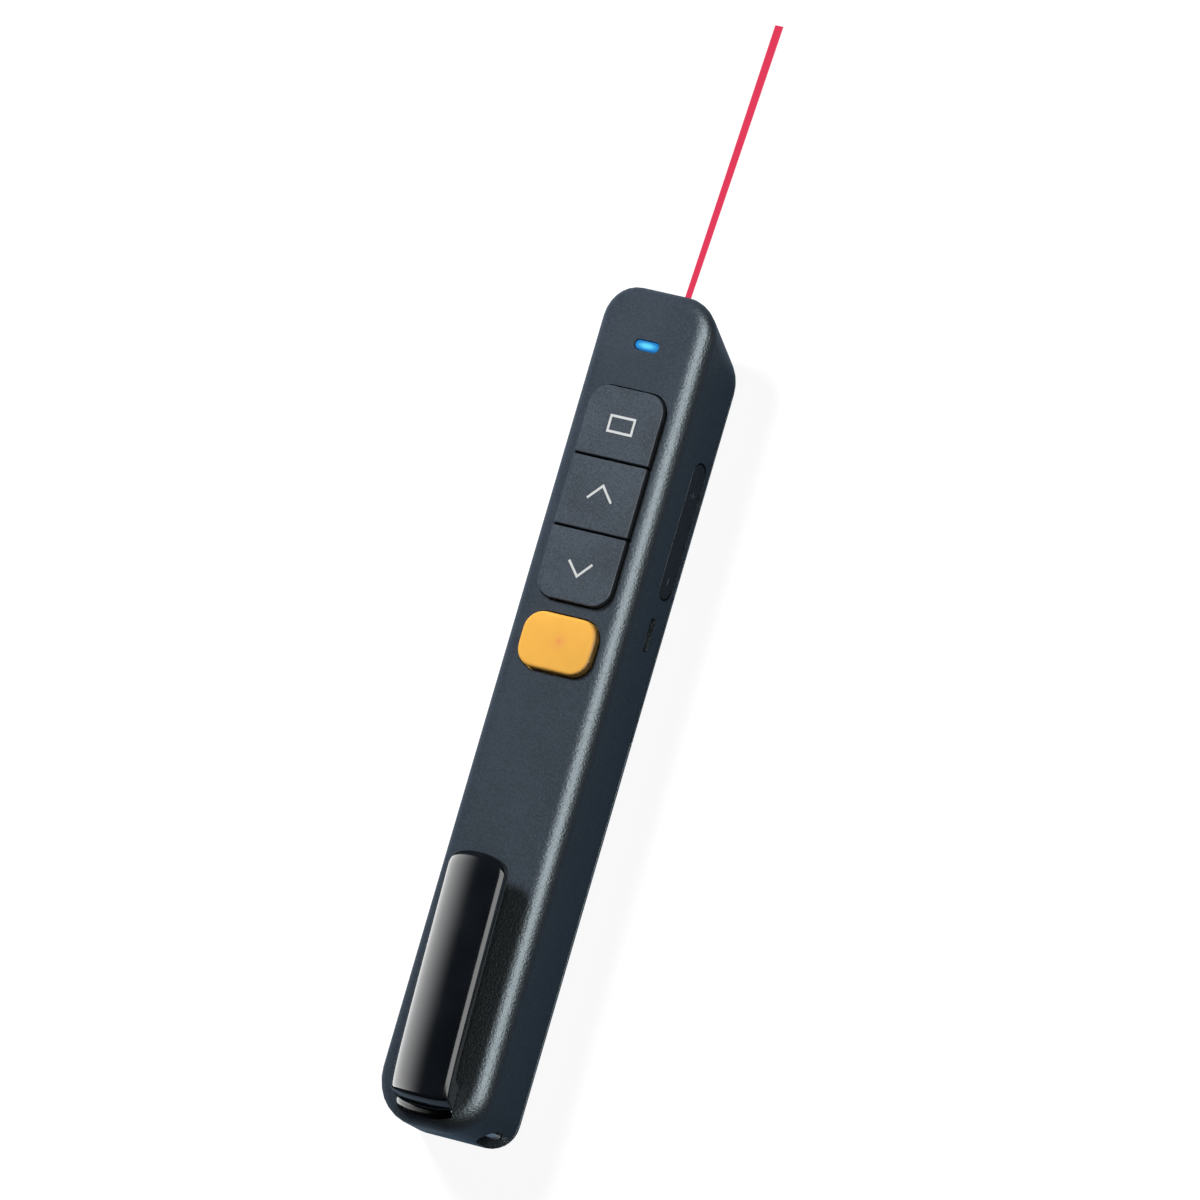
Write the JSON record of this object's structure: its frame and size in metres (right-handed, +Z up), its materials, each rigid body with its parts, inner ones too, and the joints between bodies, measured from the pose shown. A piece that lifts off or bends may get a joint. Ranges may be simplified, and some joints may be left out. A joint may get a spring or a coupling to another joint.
{
  "type": "laser pointer",
  "caption": "Slim wireless presenter with a laser in its slanted nose, key row, round-cornered laser button, side rocker and power slider, pocket clip and battery cover.",
  "frame": {"origin": "middle of the underside's bounding box, on the surface that the part rests on", "axes": "+Y along the body towards the laser end, +X towards the side with the rocker and the power slider, +Z up out of the keys"},
  "size_m": [0.0216, 0.1445, 0.0224],
  "materials": {
    "body_plastic": "fine matt moulded plastic, dark blue-grey",
    "key_plastic": "satin dark blue-grey",
    "orange_plastic": "satin orange",
    "gloss_black": "polished black",
    "blue_light": "lit translucent blue",
    "clear_glass": "coated optical glass",
    "black_plastic": "plain black moulding",
    "steel": "bright plated steel",
    "nickel": "nickel plate",
    "brass": "turned brass",
    "board_green": "green solder mask",
    "red_plastic": "plain red",
    "lamp_white": "cast resin",
    "cell_wrap": "plain coloured film on the cell's can"
  },
  "bodies": {
    "case": {"upper_shell": "body_plastic", "lower_shell": "body_plastic", "strap_bar": "steel", "status_light": "blue_light", "laser_window": "clear_glass", "laser_barrel": "brass", "collimating_lens": "clear_glass", "laser_diode": "steel", "laser_driver_board": "board_green", "laser_lead": "red_plastic", "main_board": "board_green", "radio_chip": "black_plastic", "clock_crystal": "steel", "status_led": "lamp_white", "screen_switch": "black_plastic", "up_switch": "black_plastic", "down_switch": "black_plastic", "laser_switch": "black_plastic", "volume_up_switch": "black_plastic", "volume_down_switch": "black_plastic", "power_switch": "steel", "battery_cell": "cell_wrap", "positive_contact": "nickel", "spring_plate": "nickel", "battery_spring": "nickel", "battery_lead": "black_plastic", "receiver_case": "black_plastic", "receiver_plug": "steel", "receiver_tongue": "board_green", "case_screw_front_left": "steel", "case_screw_front_right": "steel", "case_screw_rear": "steel", "board_screw_left": "steel", "board_screw_right": "steel"},
    "screen_key_body": {"screen_key": "key_plastic", "screen_plunger": "red_plastic"},
    "up_key_body": {"up_key": "key_plastic", "up_plunger": "red_plastic"},
    "down_key_body": {"down_key": "key_plastic", "down_plunger": "red_plastic"},
    "laser_button_body": {"laser_button": "orange_plastic", "laser_plunger": "red_plastic"},
    "volume_rocker_body": {"volume_rocker": "key_plastic"},
    "volume_up_plunger_body": {"volume_up_plunger": "red_plastic"},
    "volume_down_plunger_body": {"volume_down_plunger": "red_plastic"},
    "power_slider_body": {"power_slider": "black_plastic", "power_lever": "black_plastic"},
    "clip_body": {"pocket_clip": "gloss_black"},
    "battery_cover_body": {"battery_cover": "body_plastic"}
  },
  "joints": [
    {"name": "screen_key_press", "type": "slide", "parent": "case", "child": "screen_key_body", "axis": [0, 0, -1], "range_m": [0, 0.00025], "stiffness_N_per_m": 2000, "springref_m": -0.0004},
    {"name": "up_key_press", "type": "slide", "parent": "case", "child": "up_key_body", "axis": [0, 0, -1], "range_m": [0, 0.00025], "stiffness_N_per_m": 2000, "springref_m": -0.0004},
    {"name": "down_key_press", "type": "slide", "parent": "case", "child": "down_key_body", "axis": [0, 0, -1], "range_m": [0, 0.00025], "stiffness_N_per_m": 2000, "springref_m": -0.0004},
    {"name": "laser_button_press", "type": "slide", "parent": "case", "child": "laser_button_body", "axis": [0, 0, -1], "range_m": [0, 0.00025], "stiffness_N_per_m": 2000, "springref_m": -0.0004},
    {"name": "volume_rocker_tilt", "type": "hinge", "parent": "case", "child": "volume_rocker_body", "pos_m": [0.0082, 0.0349, 0.0052], "axis": [0, 0, 1], "range_deg": [-1.4, 1.4], "stiffness_Nm_per_rad": 0.4},
    {"name": "volume_up_plunger_press", "type": "slide", "parent": "case", "child": "volume_up_plunger_body", "axis": [-1, 0, 0], "range_m": [0, 0.00025], "stiffness_N_per_m": 1000, "springref_m": -0.0002},
    {"name": "volume_down_plunger_press", "type": "slide", "parent": "case", "child": "volume_down_plunger_body", "axis": [-1, 0, 0], "range_m": [0, 0.00025], "stiffness_N_per_m": 1000, "springref_m": -0.0002},
    {"name": "power_slide", "type": "slide", "parent": "case", "child": "power_slider_body", "axis": [0, 1, 0], "range_m": [0, 0.002]},
    {"name": "clip_flex", "type": "hinge", "parent": "case", "child": "clip_body", "pos_m": [0, -0.07005, 0.015], "axis": [1, 0, 0], "range_deg": [0, 5], "stiffness_Nm_per_rad": 2.5, "springref_deg": -2.29},
    {"name": "battery_cover_slide", "type": "slide", "parent": "case", "child": "battery_cover_body", "axis": [0, -1, 0], "range_m": [0, 0.0055]}
  ]
}
